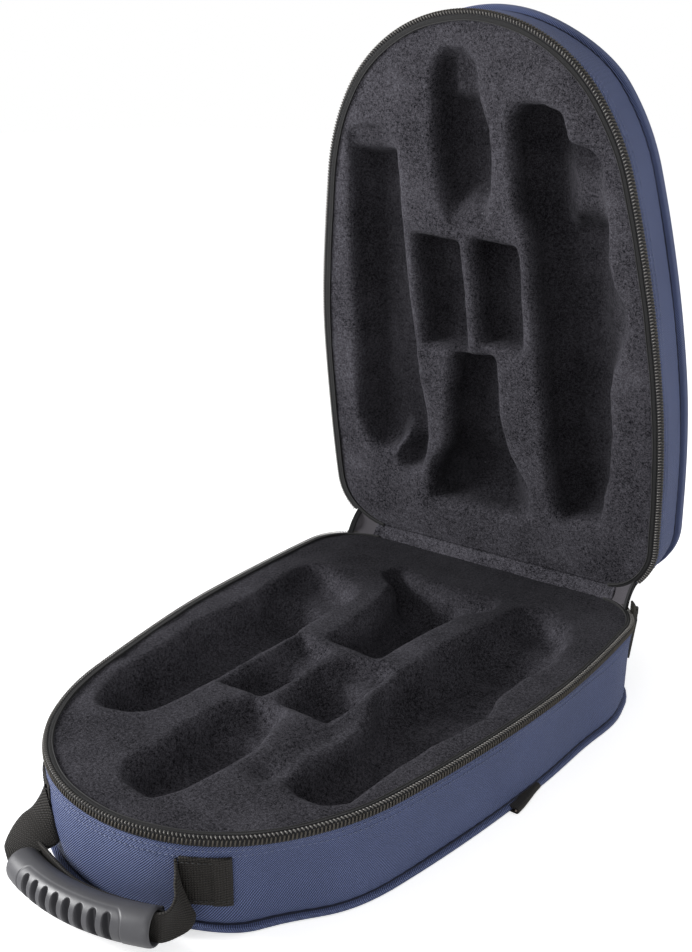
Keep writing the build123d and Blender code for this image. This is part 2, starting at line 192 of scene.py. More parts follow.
def settled(x, y, depth, half):
    """The soft shell's own set: its back leans a little to the left, and its wall draws in below the rim.

    The lean grows towards the back, at the edge only, and the left side swells. The wall draws in by
    tight * (1 - exp(-depth / 8)), most at the shoulders; the base's lower edge also sags behind the nose.
    """
    edge = smoothstep((np.abs(x) - 95) / 30)
    x = x - edge * (BACK_LEAN * smoothstep((y - 40) / 130) + LEFT_SWELL * hump(y, 20, 75) * (x < 0))
    below = 1 - np.exp(-np.maximum(depth - DRAW_START, 0) / DRAW_LENGTH)
    if half == "base":
        tight = BASE_DRAW * smoothstep((y + 180) / 30) + SHOULDER_DRAW * hump(y, -148, 20)
        tight = tight - SIDE_EASE * hump(y, 125, 28)
        depth = depth + BASE_SAG * smoothstep((y + 184) / 24) * smoothstep((depth - 28) / 19)
    else:
        tight = LID_NOSE_DRAW * smoothstep((-y - 140) / 45)
    return x * (1 - tight * below / SIDE_X), y * (1 - tight * below / HALF_LENGTH), depth


def in_base(p):
    """Depth is measured down from the base's rim plane, and nothing goes below the floor."""
    x, y, depth = settled(p[..., 0], p[..., 1], p[..., 2], "base")
    return np.stack([x, y, np.maximum(RIM_Z - depth, 0.1)], -1)


def in_lid(p):
    """Depth is measured up from the closed lid's rim plane; then the lid turns open about the hinge line."""
    x, y, depth = settled(p[..., 0], p[..., 1], p[..., 2], "lid")
    away, up = HINGE_Y - y, depth + LID_RIM_Z - HINGE_Z
    c, s = cos(LID_OPEN), sin(LID_OPEN)
    return np.stack([x, HINGE_Y - away * c + up * s, HINGE_Z + away * s + up * c], -1)


HALVES = {"base": in_base, "lid": in_lid}


# ---- meshes ----

def add_object(name, data):
    """A new object in the scene, unturned at the origin."""
    obj = bpy.data.objects.new(name, data)
    bpy.context.scene.collection.objects.link(obj)
    return obj


def vertex_places(mesh):
    """The mesh's points as one array, in metres."""
    place = np.zeros(len(mesh.vertices) * 3)
    mesh.vertices.foreach_get("co", place)
    return place.reshape(-1, 3)


def mesh_object(name, points, faces, uv=None):
    """A mesh from points in mm and faces, with one UV pair in metres for every face corner."""
    mesh = bpy.data.meshes.new(name)
    mesh.from_pydata((points.reshape(-1, 3) * 0.001).tolist(), [], faces.tolist())
    if uv is not None:
        mesh.uv_layers.new(name="UVMap").data.foreach_set("uv", (uv.reshape(-1) * 0.001).astype(np.float32))
    return add_object(name, mesh)


def quads(grid):
    """The four corner values of every cell of a grid, in order round the cell."""
    return np.stack([grid[:-1, :-1], grid[1:, :-1], grid[1:, 1:], grid[:-1, 1:]], -1)


def grid_object(name, points, u=None, v=None, round_u=False, round_v=False):
    """A mesh over a grid of points, rows along u and columns along v, either way closed on itself."""
    rows, cols = points.shape[:2]
    index = np.arange(rows * cols).reshape(rows, cols)
    index = np.concatenate([index, index[:1]], 0) if round_u else index
    index = np.concatenate([index, index[:, :1]], 1) if round_v else index
    uv = None
    if u is not None:
        plane = np.stack(np.broadcast_arrays(np.reshape(u, (-1, 1)), np.reshape(v, (1, -1))), -1)
        uv = np.stack([quads(plane[..., k]) for k in (0, 1)], -1)
    return mesh_object(name, points, quads(index).reshape(-1, 4), uv)


def tidy_shell(obj, merge=0.0, close=False, smooth=True):
    """Merge doubles, close open ends and turn every face outwards."""
    shell = bmesh.new()
    shell.from_mesh(obj.data)
    if merge:
        bmesh.ops.remove_doubles(shell, verts=shell.verts, dist=merge * 0.001)
    if close:
        bmesh.ops.holes_fill(shell, edges=[e for e in shell.edges if e.is_boundary], sides=0)
    bmesh.ops.recalc_face_normals(shell, faces=shell.faces)
    shell.to_mesh(obj.data)
    shell.free()
    obj.data.shade_smooth() if smooth else obj.data.shade_flat()
    return obj


def quadratic(a, b, c, t):
    """A quadratic curve from a to c, drawn towards b: (1 - t)^2 a + 2t(1 - t) b + t^2 c."""
    return (1 - t) ** 2 * a + 2 * t * (1 - t) * b + t ** 2 * c


def rounded_loop(corners, radius, steps=5):
    """A closed loop with its corners rounded: each is a quadratic curve between points a radius away."""
    p = np.array(corners, float)
    length = lambda q: np.linalg.norm(q - p, axis=1)
    toward = lambda q: p + (q - p) * (np.minimum(radius, 0.45 * length(q)) / length(q))[:, None]
    a, b = toward(np.roll(p, 1, 0)), toward(np.roll(p, -1, 0))
    t = np.linspace(0, 1, steps)[None, :, None]
    return quadratic(a[:, None], p[:, None], b[:, None], t).reshape(-1, 2)


def run_length(points):
    """Distance along a row of points, from its first."""
    step = np.linalg.norm(np.diff(points, axis=0), axis=-1)
    return np.concatenate([[0.0], np.cumsum(step)])


def full_turn(count):
    """Angles spread evenly round a circle."""
    return np.linspace(0, 2 * pi, count, endpoint=False)


def unevenness(x, y, size, seed):
    """A smooth field of about -1 to 1: twelve plane waves near one wavelength, in fixed random directions."""
    rng = np.random.default_rng(seed)
    turn, phase = rng.uniform(0, 2 * pi, (2, 12))
    wave = 2 * pi / (size * rng.uniform(0.7, 1.6, 12))
    return sum(np.sin(k * (x * np.cos(a) + y * np.sin(a)) + p) for k, a, p in zip(wave, turn, phase)) / 5.0


def dress(obj, body, material, replaces=()):
    """Give a piece its material, the body that it rides on, and the CAD nodes that it stands for."""
    obj.data.materials.clear()
    obj.data.materials.append(material)
    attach(obj, body)
    if replaces:
        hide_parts(*replaces)
    return obj


# ---- materials ----

def add_node(tree, kind, inputs=None, **settings):
    """A new node with its settings; each input takes a constant or another node's output."""
    node = tree.nodes.new(kind)
    for key, value in settings.items():
        setattr(node, key, value)
    for key, value in (inputs or {}).items():
        if isinstance(value, bpy.types.NodeSocket):
            tree.links.new(value, node.inputs[key])
        else:
            node.inputs[key].default_value = value
    return node


def calc(tree, operation, a, b=0.0, c=0.0):
    """The result of one Math node."""
    return add_node(tree, "ShaderNodeMath", {0: a, 1: b, 2: c}, operation=operation).outputs[0]


def blend_colour(tree, amount, a, b):
    """Colour a turned into colour b by an amount from 0 to 1."""
    return add_node(tree, "ShaderNodeMix", {0: amount, 6: a, 7: b}, data_type="RGBA").outputs[2]


def noise(tree, place, scale, detail, roughness=0.5):
    """Noise of about 0 to 1 with a mean of a half."""
    inputs = {"Vector": place, "Scale": scale, "Detail": detail, "Roughness": roughness}
    return add_node(tree, "ShaderNodeTexNoise", inputs).outputs[0]


def set_values(node, **values):
    """Constants for a node's inputs, whose names are written with _ for a space."""
    for key, value in values.items():
        node.inputs[key.replace("_", " ")].default_value = value


def weave_group():
    """Woven threads: raised diagonal ribs, each broken by the threads that cross it."""
    group = bpy.data.node_groups.new("woven_cloth", "ShaderNodeTree")
    for label, kind in (("Place", "Vector"), ("Pitch", "Float"), ("Cross", "Float")):
        group.interface.new_socket(label, in_out="INPUT", socket_type="NodeSocket" + kind)
    group.interface.new_socket("Height", in_out="OUTPUT", socket_type="NodeSocketFloat")
    given = group.nodes.new("NodeGroupInput").outputs
    result = group.nodes.new("NodeGroupOutput").inputs["Height"]
    place = add_node(group, "ShaderNodeSeparateXYZ", {0: given["Place"]}).outputs
    u, v = (calc(group, "DIVIDE", place[k], given["Pitch"]) for k in (0, 1))
    wave = lambda a: calc(group, "MULTIPLY_ADD", calc(group, "SINE", calc(group, "MULTIPLY", a, 2 * pi)), 0.5, 0.5)
    drift = noise(group, given["Place"], 90.0, 1.0)
    rib = wave(calc(group, "MULTIPLY_ADD", drift, 0.8, calc(group, "ADD", u, v)))
    knot = wave(calc(group, "SUBTRACT", u, v))
    keep = calc(group, "SUBTRACT", 1.0, calc(group, "MULTIPLY", given["Cross"], knot))
    group.links.new(calc(group, "MULTIPLY", rib, keep), result)
    return group


WEAVE = weave_group()


def lint(tree, place):
    """Sparse small specks: cells whose centres are near and whose random value is high."""
    cells = add_node(tree, "ShaderNodeTexVoronoi", {"Vector": place, "Scale": 150.0}).outputs
    near = add_node(tree, "ShaderNodeMapRange", {0: cells["Distance"], 1: 0.04, 2: 0.10, 3: 1.0, 4: 0.0}).outputs[0]
    pick = add_node(tree, "ShaderNodeSeparateColor", {0: cells["Color"]}).outputs[0]
    return calc(tree, "MULTIPLY", near, calc(tree, "GREATER_THAN", pick, 0.99))


def start_material(name, roughness=0.6, coordinate="Object"):
    """A material with its Principled shader and a place to read patterns from."""
    material = bpy.data.materials.new(name)
    material.use_nodes = True
    tree = material.node_tree
    shader = tree.nodes["Principled BSDF"]
    set_values(shader, Roughness=roughness)
    place = add_node(tree, "ShaderNodeTexCoord").outputs[coordinate]
    return material, tree, shader, place


def bumped(tree, shader, height, strength, distance):
    """Feed a height into the shader's normal."""
    bump = add_node(tree, "ShaderNodeBump", {"Height": height, "Strength": strength, "Distance": distance})
    tree.links.new(bump.outputs[0], shader.inputs["Normal"])


def woven_material(name, low, high, pitch, cross, roughness, sheen, bump=0.00012):
    """Cloth on a piece's own UV map: thread colour on the ribs, a darker one in the valleys."""
    material, tree, shader, place = start_material(name, roughness, "UV")
    cloth = add_node(tree, "ShaderNodeGroup", {"Place": place, "Pitch": pitch, "Cross": cross}, node_tree=WEAVE)
    height = cloth.outputs["Height"]
    body = add_node(tree, "ShaderNodeTexCoord").outputs["Object"]
    tone = calc(tree, "MULTIPLY_ADD", noise(tree, body, 22.0, 3.0), 0.2, calc(tree, "MULTIPLY", height, 1.15))
    tree.links.new(blend_colour(tree, tone, low, high), shader.inputs["Base Color"])
    set_values(shader, Sheen_Weight=sheen, Sheen_Roughness=0.4, Specular_IOR_Level=0.25)
    bumped(tree, shader, height, 1.0, bump)
    return material


def plush_material():
    """Short pile: fine fuzz, clumps that lean this way and that, painted shade in the pockets and where less light
    reaches, a little lint.
    """
    material, tree, shader, place = start_material("charcoal_plush", 0.95)
    nap = noise(tree, place, 26.0, 3.0, 0.6)
    tuft = noise(tree, place, 560.0, 3.0, 0.7)
    fuzz = noise(tree, place, 1500.0, 2.0, 0.7)
    grain = calc(tree, "MULTIPLY_ADD", tuft, 1.5, calc(tree, "MULTIPLY_ADD", fuzz, 2.0, -1.70))
    tone = calc(tree, "MULTIPLY_ADD", nap, 0.8, grain)
    colour = blend_colour(tree, tone, (0.002, 0.002, 0.003, 1), (0.106, 0.102, 0.119, 1))
    # painted shade: the insert's 'fall' attribute darkens the pile in the pockets and where less light reaches
    fall = add_node(tree, "ShaderNodeAttribute", attribute_name="fall").outputs["Fac"]
    colour = blend_colour(tree, calc(tree, "MULTIPLY", fall, 0.68), colour, (0.001, 0.001, 0.0015, 1))
    colour = blend_colour(tree, calc(tree, "MULTIPLY", lint(tree, place), 0.30), colour, (0.26, 0.26, 0.28, 1))
    tree.links.new(colour, shader.inputs["Base Color"])
    set_values(shader, Sheen_Weight=0.06, Sheen_Roughness=0.45, Sheen_Tint=(0.50, 0.50, 0.56, 1))
    set_values(shader, Specular_IOR_Level=0.05)
    bumped(tree, shader, calc(tree, "MULTIPLY_ADD", fuzz, 0.5, tuft), 0.7, 0.0009)
    return material


def moulded_material(name, dark, light, roughness, bump=0.00008, coat=0.0, metallic=0.0):
    """Moulded or enamelled surface: fine grain, and soft blotches that are paler and rougher."""
    material, tree, shader, place = start_material(name, roughness)
    patch = noise(tree, place, 60.0, 4.0)
    tree.links.new(blend_colour(tree, patch, dark, light), shader.inputs["Base Color"])
    tree.links.new(calc(tree, "MULTIPLY_ADD", patch, 0.25, roughness - 0.12), shader.inputs["Roughness"])
    set_values(shader, Coat_Weight=coat, Metallic=metallic)
    bumped(tree, shader, noise(tree, place, 700.0, 2.0), 0.6, bump)
    return material


# name, colour in the valleys, colour of the threads, pitch in metres, cross, roughness, sheen, bump
BLUE_NYLON = woven_material("blue_nylon", (0.004, 0.006, 0.016, 1), (0.165, 0.210, 0.42, 1), 0.0014, 0.5, 0.55, 0.04,
                            0.0005)
BLACK_TAPE = woven_material("black_tape", (0.006, 0.006, 0.007, 1), (0.030, 0.030, 0.032, 1), 0.0009, 0.6, 0.7, 0.1)
BLACK_WEBBING = woven_material("black_webbing", (0.004, 0.004, 0.004, 1), (0.036, 0.032, 0.028, 1), 0.0013, 0.5, 0.65,
                               0.05, 0.0003)
GREY_LINING = woven_material("grey_lining", (0.040, 0.037, 0.042, 1), (0.098, 0.091, 0.104, 1), 0.0008, 0.5, 0.7, 0.1)
BINDING = woven_material("grey_binding", (0.004, 0.004, 0.004, 1), (0.020, 0.020, 0.021, 1), 0.0009, 0.4, 0.7, 0.1)
# painted shade: the welt is the wall's blue cloth, coloured dark for the shade in the seam's groove
SEAM_SHADE = woven_material("seam_welt", (0.004, 0.005, 0.012, 1), (0.018, 0.022, 0.048, 1), 0.0009, 0.5, 0.8, 0.1)
CHARCOAL_PLUSH = plush_material()
# name, dark colour, light colour, roughness, bump
COIL = moulded_material("black_coil", (0.028, 0.024, 0.019, 1), (0.085, 0.073, 0.057, 1), 0.40, 0.00002)
# painted highlight: the crests are the same black coil, coloured paler for the glints of light on them
COIL_CREST_HIGHLIGHT = moulded_material("coil_crest_painted_highlight", (0.065, 0.061, 0.056, 1), (0.185, 0.176, 0.165, 1), 0.25, 0.00002)
PIPING = moulded_material("grey_piping", (0.014, 0.014, 0.015, 1), (0.034, 0.033, 0.034, 1), 0.75)
PALE_CORE = moulded_material("pale_core", (0.13, 0.10, 0.085, 1), (0.30, 0.24, 0.21, 1), 0.6)
THREAD_BLUE = moulded_material("blue_thread", (0.10, 0.12, 0.20, 1), (0.19, 0.22, 0.34, 1), 0.6)
THREAD_BLACK = moulded_material("black_thread", (0.010, 0.010, 0.011, 1), (0.035, 0.035, 0.037, 1), 0.6)
GREY_GRIP = moulded_material("grey_grip", (0.050, 0.050, 0.056, 1), (0.078, 0.078, 0.086, 1), 0.42, 0.00006)
SLIDER_METAL = moulded_material("slider_enamel", (0.020, 0.019, 0.016, 1), (0.060, 0.056, 0.046, 1), 0.38, 0.00003,
                                coat=0.3, metallic=0.5)
BOARD = moulded_material("grey_board", (0.20, 0.19, 0.18, 1), (0.32, 0.31, 0.29, 1), 0.8)


# ---- shell: walls, panels, seams ----

ALL_ROUND = np.linspace(-HALF_EDGE, HALF_EDGE, 560, endpoint=False)
RIM_RUN = np.linspace(-ARC_STARTS[-1] + 6.0, ARC_STARTS[-1] - 6.0, 500)
COIL_PITCH = 2.07


def round_edge(name, loop, half, s=ALL_ROUND, ripple=None):
    """A closed profile of (out, depth) carried round the case; on part of the edge its two ends are filled."""
    whole = s is ALL_ROUND
    out, depth = (np.tile(column, (len(s), 1)) for column in loop.T)
    if ripple is not None:
        out = out + ripple(s[:, None], depth, out)
    u = np.append(s, 2 * s[-1] - s[-2]) if whole else s
    round_loop = run_length(np.append(loop, loop[:1], 0))
    obj = grid_object(name, HALVES[half](carried(s, out, depth)), u, round_loop, round_u=whole, round_v=True)
    return tidy_shell(obj, close=not whole)


def side_wall(half, seam):
    """Nylon over stiff foam: a flat band that bows out a little and is drawn in along both seams.

    Outwards distance = a low sine bow - a short exponential dip at each edge + small puckers near the zipper.
    """
    low, high = RIM_BAND + 0.1, seam - WELT_H
    depth = low + (high - low) * (1 - np.cos(np.linspace(0, pi, 26))) / 2
    bow = 0.55 * np.sin(pi * (depth - low) / (high - low))
    dip = 1.1 * np.exp(-(depth - low) / 0.8) + 1.3 * np.exp(-(high - depth) / 1.1)
    face = np.stack([bow - dip, depth], -1)
    back = np.stack([np.full(8, -3.0), np.linspace(high, low, 8)], -1)

    def puckers(s, d, out):
        near = np.exp(-(d - low) / 6.0) + 0.7 * np.exp(-(high - d) / 5.0)
        small = 0.16 * near * np.sin(2 * pi * s / 8.5 + 1.7 * np.sin(s / 37.0))
        return (out > -2.5) * (small + 0.35 * unevenness(s, 3 * d, 120.0, 5))

    obj = round_edge(f"{half}_wall_cloth", np.concatenate([face, back]), half, ripple=puckers)
    return dress(obj, half, BLUE_NYLON, [f"{half}_side_wall"])


PANEL_BEND, PANEL_FACE = 1.3, 26.0


def outer_panel(half, proud, seam, edge, crown, node):
    """Padded outer panel: a rounded edge, then a soft dome over the board inside.

    Rings follow the case's edge, moved in by a growing amount, and the last ones close on a centre line.
    Depth past the edge = edge + 0.8 * crown * smoothstep of the distance in, and the rest of the crown is
    reached at the centre line. Small tucks draw the cloth in along the seam.
    """
    rim = rounded_loop([(-20, seam), (proud, seam), (proud, seam + edge), (-6, seam + edge)],
                       [0.1, PANEL_BEND, PANEL_BEND, 0.1], 7)[7:21]
    inward = np.linspace(2.0, PANEL_FACE, 9)
    dome = np.stack([-inward, seam + edge + 0.8 * crown * smoothstep((inward - 2.0) / (PANEL_FACE - 2.0))], -1)
    start = np.stack([np.linspace(-20, -1.5, 5), np.full(5, seam)], -1)
    rings = np.concatenate([start, rim, dome])
    s = ALL_ROUND
    tuck = 0.22 * np.abs(np.sin(pi * s[:, None] / 7.5)) * hump(rings[:, 1], seam, 1.8)
    edge_points = carried(s, rings[:, 0] - tuck * (rings[:, 0] > 0), np.tile(rings[:, 1], (len(s), 1)))
    last = edge_points[:, -1]
    centre = np.stack([np.zeros(len(s)), np.clip(last[:, 1], -70, 70) * 0.75, last[:, 2]], -1)
    t = np.linspace(0, 1, 15)[1:, None]
    inner = last[:, None] * (1 - t) + centre[:, None] * t
    rough = 0.35 * unevenness(inner[..., 0], inner[..., 1], 90.0, 9)
    inner[..., 2] += 0.2 * crown * (1 - (1 - t[:, 0]) ** 2) + rough * t[:, 0]
    points = np.concatenate([edge_points, inner], 1)
    across = run_length(points[len(s) // 2])
    obj = grid_object(f"{half}_panel_cloth", HALVES[half](points), np.append(s, HALF_EDGE), across, round_u=True)
    tidy_shell(obj, merge=0.02, close=True)
    flat_cloth_uv(obj, half)
    return dress(obj, half, BLUE_NYLON, [node])


def flat_cloth_uv(obj, half):
    """Lay a panel's weave straight across its face: UV = width and length, plus the rise of its edge."""
    mesh = obj.data
    place = vertex_places(mesh)
    tall, rise = (place[:, 1], place[:, 2]) if half == "base" else (place[:, 2], place[:, 1])
    corner = np.zeros(len(mesh.loops), int)
    mesh.loops.foreach_get("vertex_index", corner)
    uv = np.stack([place[:, 0] + 0.5 * rise, tall + 0.5 * rise], -1)[corner]
    mesh.uv_layers[0].data.foreach_set("uv", uv.reshape(-1).astype(np.float32))


# ---- zipper, binding and stitches ----

def stitch_row(name, s, length, radius, out, depth, lift, half, material):
    """Stitches along the edge: each is a spindle whose radius falls to nothing at both ends.

    Centre = (out, depth) + lift * (1 - t^2); radius = radius * sqrt(1 - t^4), for t from -1 to 1.
    """
    t = np.linspace(-1, 1, 6)[None, :, None]
    turn = full_turn(5)
    r = radius * np.sqrt(np.clip(1 - t ** 4, 0, 1))
    place = np.broadcast_to(s[:, None, None] + 0.5 * length * t, (len(s), 6, 5))
    o = out + lift[0] * (1 - t * t) + r * np.cos(turn) + 0 * place
    d = depth + lift[1] * (1 - t * t) + r * np.sin(turn) + 0 * place
    return dress(beads(name, place, o, d, half), half, material)


def beads(name, place, out, depth, half):
    """Many small closed grids at once: for each, rings of points by distance along, out and depth."""
    count, rings, around = place.shape
    x, y, nx, ny = case_edge(place)
    points = HALVES[half](np.stack([x + nx * out, y + ny * out, depth], -1))
    first = np.arange(rings * around).reshape(rings, around)
    quad = quads(np.concatenate([first, first[:, :1]], 1)).reshape(-1, 4)
    faces = (quad[None] + (np.arange(count) * rings * around)[:, None, None]).reshape(-1, 4)
    return tidy_shell(mesh_object(name, points, faces), merge=0.004)


def coil_row(name, half, path, radius, lean, first, material, replaces=()):
    """One row of the coil's threads: each is a short bent bar along a path in (out, depth), leaning a little."""
    path, radius, lean = np.array(path), np.array(radius), np.linspace(-1, 1, len(path)) * lean
    normal = np.gradient(path, axis=0)[:, ::-1] * (1, -1)
    normal /= np.linalg.norm(normal, axis=1, keepdims=True)
    turn, radius = full_turn(6), radius[:, None]
    out = path[:, 0:1] + radius * normal[:, 0:1] * np.cos(turn)
    depth = path[:, 1:2] + radius * normal[:, 1:2] * np.cos(turn)
    teeth = np.arange(-ZIP_END + first, ZIP_END - 0.5, COIL_PITCH)
    place = teeth[:, None, None] + (lean[:, None] + radius * np.sin(turn))[None]
    obj = beads(name, place, out[None] + 0 * place, depth[None] + 0 * place, half)
    return dress(obj, half, material, replaces)


def zipper_coil(half):
    """The coil seen from outside: crests across the rim, painted paler as a highlight, and duller ribs down its outer
    face.
    """
    way, first = (1, 1.0) if half == "base" else (-1, 2.0)
    coil_row(f"{half}_coil_crests", half, [(-2.2, 1.5), (-1.7, 0.85), (-0.9, 0.6), (-0.2, 0.8), (0.25, 1.45)],
             [0.0, 0.36, 0.46, 0.46, 0.0], 0.5 * way, first, COIL_CREST_HIGHLIGHT, [f"{half}_zipper_coil"])
    coil_row(f"{half}_coil_ribs", half, [(-0.2, 1.7), (0.2, 2.1), (0.35, 3.2), (0.35, 4.6), (-0.1, 5.6)],
             [0.0, 0.46, 0.50, 0.46, 0.0], -0.5 * way, first + 0.9, COIL)


def zipper_tape(half):
    """The tape folded round the wall's edge: a step under the coil and an upright strip inside it."""
    s = np.linspace(-ZIP_END, ZIP_END, 440)
    loop = rounded_loop([(-0.1, 1.9), (0.0, 5.7), (-2.95, 5.7), (-2.95, 17.0), (-3.75, 17.0), (-3.75, 1.4),
                         (-2.95, 1.4), (-1.2, 1.4)], 0.25, 3)
    obj = round_edge(f"{half}_tape", loop, half, s)
    return dress(obj, half, BLACK_TAPE, [f"{half}_zipper_tape"])


def rim_binding(half):
    """The lining's narrow bound edge inside the coil, with a thin pale piping along its inner side."""
    inner = -5.2 if half == "base" else -6.0
    loop = rounded_loop([(-2.75, 2.6), (-2.7, 0.9), (inner, 1.1), (inner - 0.1, 2.8)], [0.2, 0.7, 0.7, 0.2], 5)
    wavy = lambda s, d, out: 0.10 * np.sin(s / 5.3 + np.sin(s / 17.0)) * (d < 2.2)
    obj = round_edge(f"{half}_binding", loop, half, RIM_RUN, ripple=wavy)
    dress(obj, half, BINDING, [f"{half}_rim_binding"])
    turn = full_turn(6)
    cord = np.stack([inner + 0.45 + 0.30 * np.cos(turn), 0.95 + 0.30 * np.sin(turn)], -1)
    obj = round_edge(f"{half}_piping", cord, half, RIM_RUN, ripple=lambda s, d, out: 0.12 * np.sin(s / 7.1))
    dress(obj, half, PIPING)


def wall_stitches(half):
    """Two rows of fine blue stitches that hold the tape behind the wall's cloth."""
    end = ZIP_END - 2
    for row, depth in enumerate((RIM_BAND + 2.7, RIM_BAND + 6.4)):
        s = np.arange(-end, end, 3.1) + row
        out = 0.1 + 0.55 * sin(pi * (depth - RIM_BAND) / 41.0)
        stitch_row(f"{half}_wall_stitches_{row + 1}", s, 2.3, 0.26, out, depth, (0.06, 0), half, THREAD_BLUE)


# ---- plush inserts ----

def distance_to(x, y, corners, radius=2.6):
    """Signed distance to a closed outline with rounded corners (negative inside), and the nearest point on it."""
    p = rounded_loop(corners, radius, 4)
    best = np.full(x.shape, 1e9)
    inside = np.zeros(x.shape, bool)
    near = np.zeros(x.shape + (2,))
    for a, b in zip(p, np.roll(p, -1, 0)):
        ab = b - a
        t = np.clip(((x - a[0]) * ab[0] + (y - a[1]) * ab[1]) / (ab @ ab), 0, 1)
        spot = np.stack([a[0] + ab[0] * t, a[1] + ab[1] * t], -1)
        gap = np.hypot(x - spot[..., 0], y - spot[..., 1])
        closer = gap < best
        best, near = np.where(closer, gap, best), np.where(closer[..., None], spot, near)
        if a[1] != b[1]:
            level = (np.minimum(a[1], b[1]) <= y) & (y < np.maximum(a[1], b[1]))
            inside ^= level & (x < a[0] + (y - a[1]) / ab[1] * ab[0])
    return np.where(inside, -best, best), near


LIP, SLOPE = 4.6, 1.2
SCOOPS = {"upper_joint": 12.0, "lower_joint": 13.0, "mouthpiece": 10.0, "bell": 9.0, "barrel_one": 6.0,
          "barrel_two": 6.0}


def pocket_profile(u, depth, scoop):
    """Across a pocket's edge: flat top, rounded lip, near-upright wall, rounded foot.

    u runs from -(slope + scoop) at the floor to lip on top. It is spread evenly over the profile's length:
    a quarter turn for the foot, a leaning straight, and a quarter turn for the lip; in a shallow pocket the
    two turns are flattened. Gives the distance out from the pocket's outline and the fall below the top.
    """
    lip, foot_fall = np.minimum(LIP, 0.45 * depth), np.minimum(scoop, 0.5 * depth)
    foot, top, rise = foot_fall * pi / 2, lip * pi / 2, depth - lip - foot_fall
    run = np.clip((u + SLOPE + scoop) / (SLOPE + scoop + LIP), 0, 1) * (foot + rise + top)
    a = np.clip(run / foot_fall, 0, pi / 2)
    wall = np.clip((run - foot) / rise, 0, 1)
    b = np.clip((run - foot - rise) / lip, 0, pi / 2)
    out = -SLOPE - scoop + scoop * np.sin(a) + SLOPE * wall + LIP * (1 - np.cos(b))
    fall = depth - foot_fall * (1 - np.cos(a)) - rise * wall - lip * np.sin(b)
    out = np.where(u < -SLOPE - scoop, u, np.where(u > LIP, u, out))
    return out, np.where(u > LIP, 0.0, np.where(u < -SLOPE - scoop, depth, fall))


def relaxed(a, times):
    """Soften a grid of values: each becomes a quarter, half, quarter mean both ways; the border stays."""
    a = a.copy()
    for _ in range(times):
        a[1:-1] = 0.25 * a[:-2] + 0.5 * a[1:-1] + 0.25 * a[2:]
        a[:, 1:-1] = 0.25 * a[:, :-2] + 0.5 * a[:, 1:-1] + 0.25 * a[:, 2:]
    return a


def insert_grid():
    """Points that fill the case's inside: rows across, as wide as the case is there, closer at the nose."""
    edge = np.linspace(0, HALF_EDGE, 4000)
    ex, ey, nx, ny = case_edge(edge)
    ex, ey = ex - INSERT_INSET * nx, ey - INSERT_INSET * ny
    t = np.linspace(0, 1, 330)
    y = ey[0] + (ey[-1] - ey[0]) * (t + 0.16 * (t ** 2 - t) * 2)
    side = ex[: np.argmax(ey > ey[-1] - 0.5)]
    half_width = np.interp(y, ey[: len(side)], side)
    half_width[-1] = CORNER[0]
    across = np.linspace(-1, 1, 230)
    across = across * (1 + 0.10 * (1 - across ** 2))
    return half_width[:, None] * across[None, :], np.repeat(y[:, None], len(across), 1)


def pocket_floor(x, y, depth, areas):
    """Depth of a pocket's floor below the plush, with its own depth inside each area and a slope round it."""
    floor = np.full_like(x, depth - PLUSH_TOP)
    for corners, other, slope in areas:
        inside = smoothstep(0.5 - distance_to(x, y, corners)[0] / slope)
        floor = floor + (other - PLUSH_TOP - floor) * inside
    return floor


def pressed_pockets(half, x, y):
    """Press a half's pockets and dimples into a grid of points: their new places and the fall below the plush.

    Each point close to a pocket's outline moves along the line to the nearest point of that outline, so the
    grid crowds on to the pocket's wall; its fall comes from the pocket's profile.
    """
    fall, level = np.zeros_like(x), np.stack([x, y], -1)
    p = level
    for kind, (corners, depth, areas) in POCKETS[half].items():
        u, near = distance_to(x, y, corners)
        out, down = pocket_profile(u, pocket_floor(x, y, depth, areas), SCOOPS[kind])
        away = (level - near) / np.where(np.abs(u) < 1e-6, 1, u)[..., None]
        here = (u > -SLOPE - SCOOPS[kind]) & (u < LIP)
        p = np.where(here[..., None], near + away * out[..., None], p)
        fall = np.maximum(fall, down)
    p, fall = relaxed(p, 3), relaxed(fall, 4)
    for spot, size, low in DIMPLES[half]:
        fall = fall + low * np.exp(-((x - spot[0]) / size[0]) ** 2 - ((y - spot[1]) / size[1]) ** 2)
    return p[..., 0], p[..., 1], fall


def painted_pile_shade(half, x, y, fall):
    """Painted shade on the pile, 0 to 1: deep in the lid's pockets and towards its right side, and on the base towards
    the hinge.
    """
    if half == "lid":
        # painted shade: deep in the lid's pockets, and more towards its right side, away from the light on the left
        return np.clip(fall / 16.0 * 0.9 + 0.22 * smoothstep((x + 75) / 50), 0, 1)
    # painted shade: the base darker towards the hinge, where the lid keeps the light off, and less so in its pockets
    hinge_shade = 0.32 + 0.75 * smoothstep((y - 60) / 100) * (1 - 0.5 * smoothstep((x - 40) / 60))
    return np.clip(hinge_shade * (1 - 0.6 * np.clip(fall / 10, 0, 1)), 0, 1)


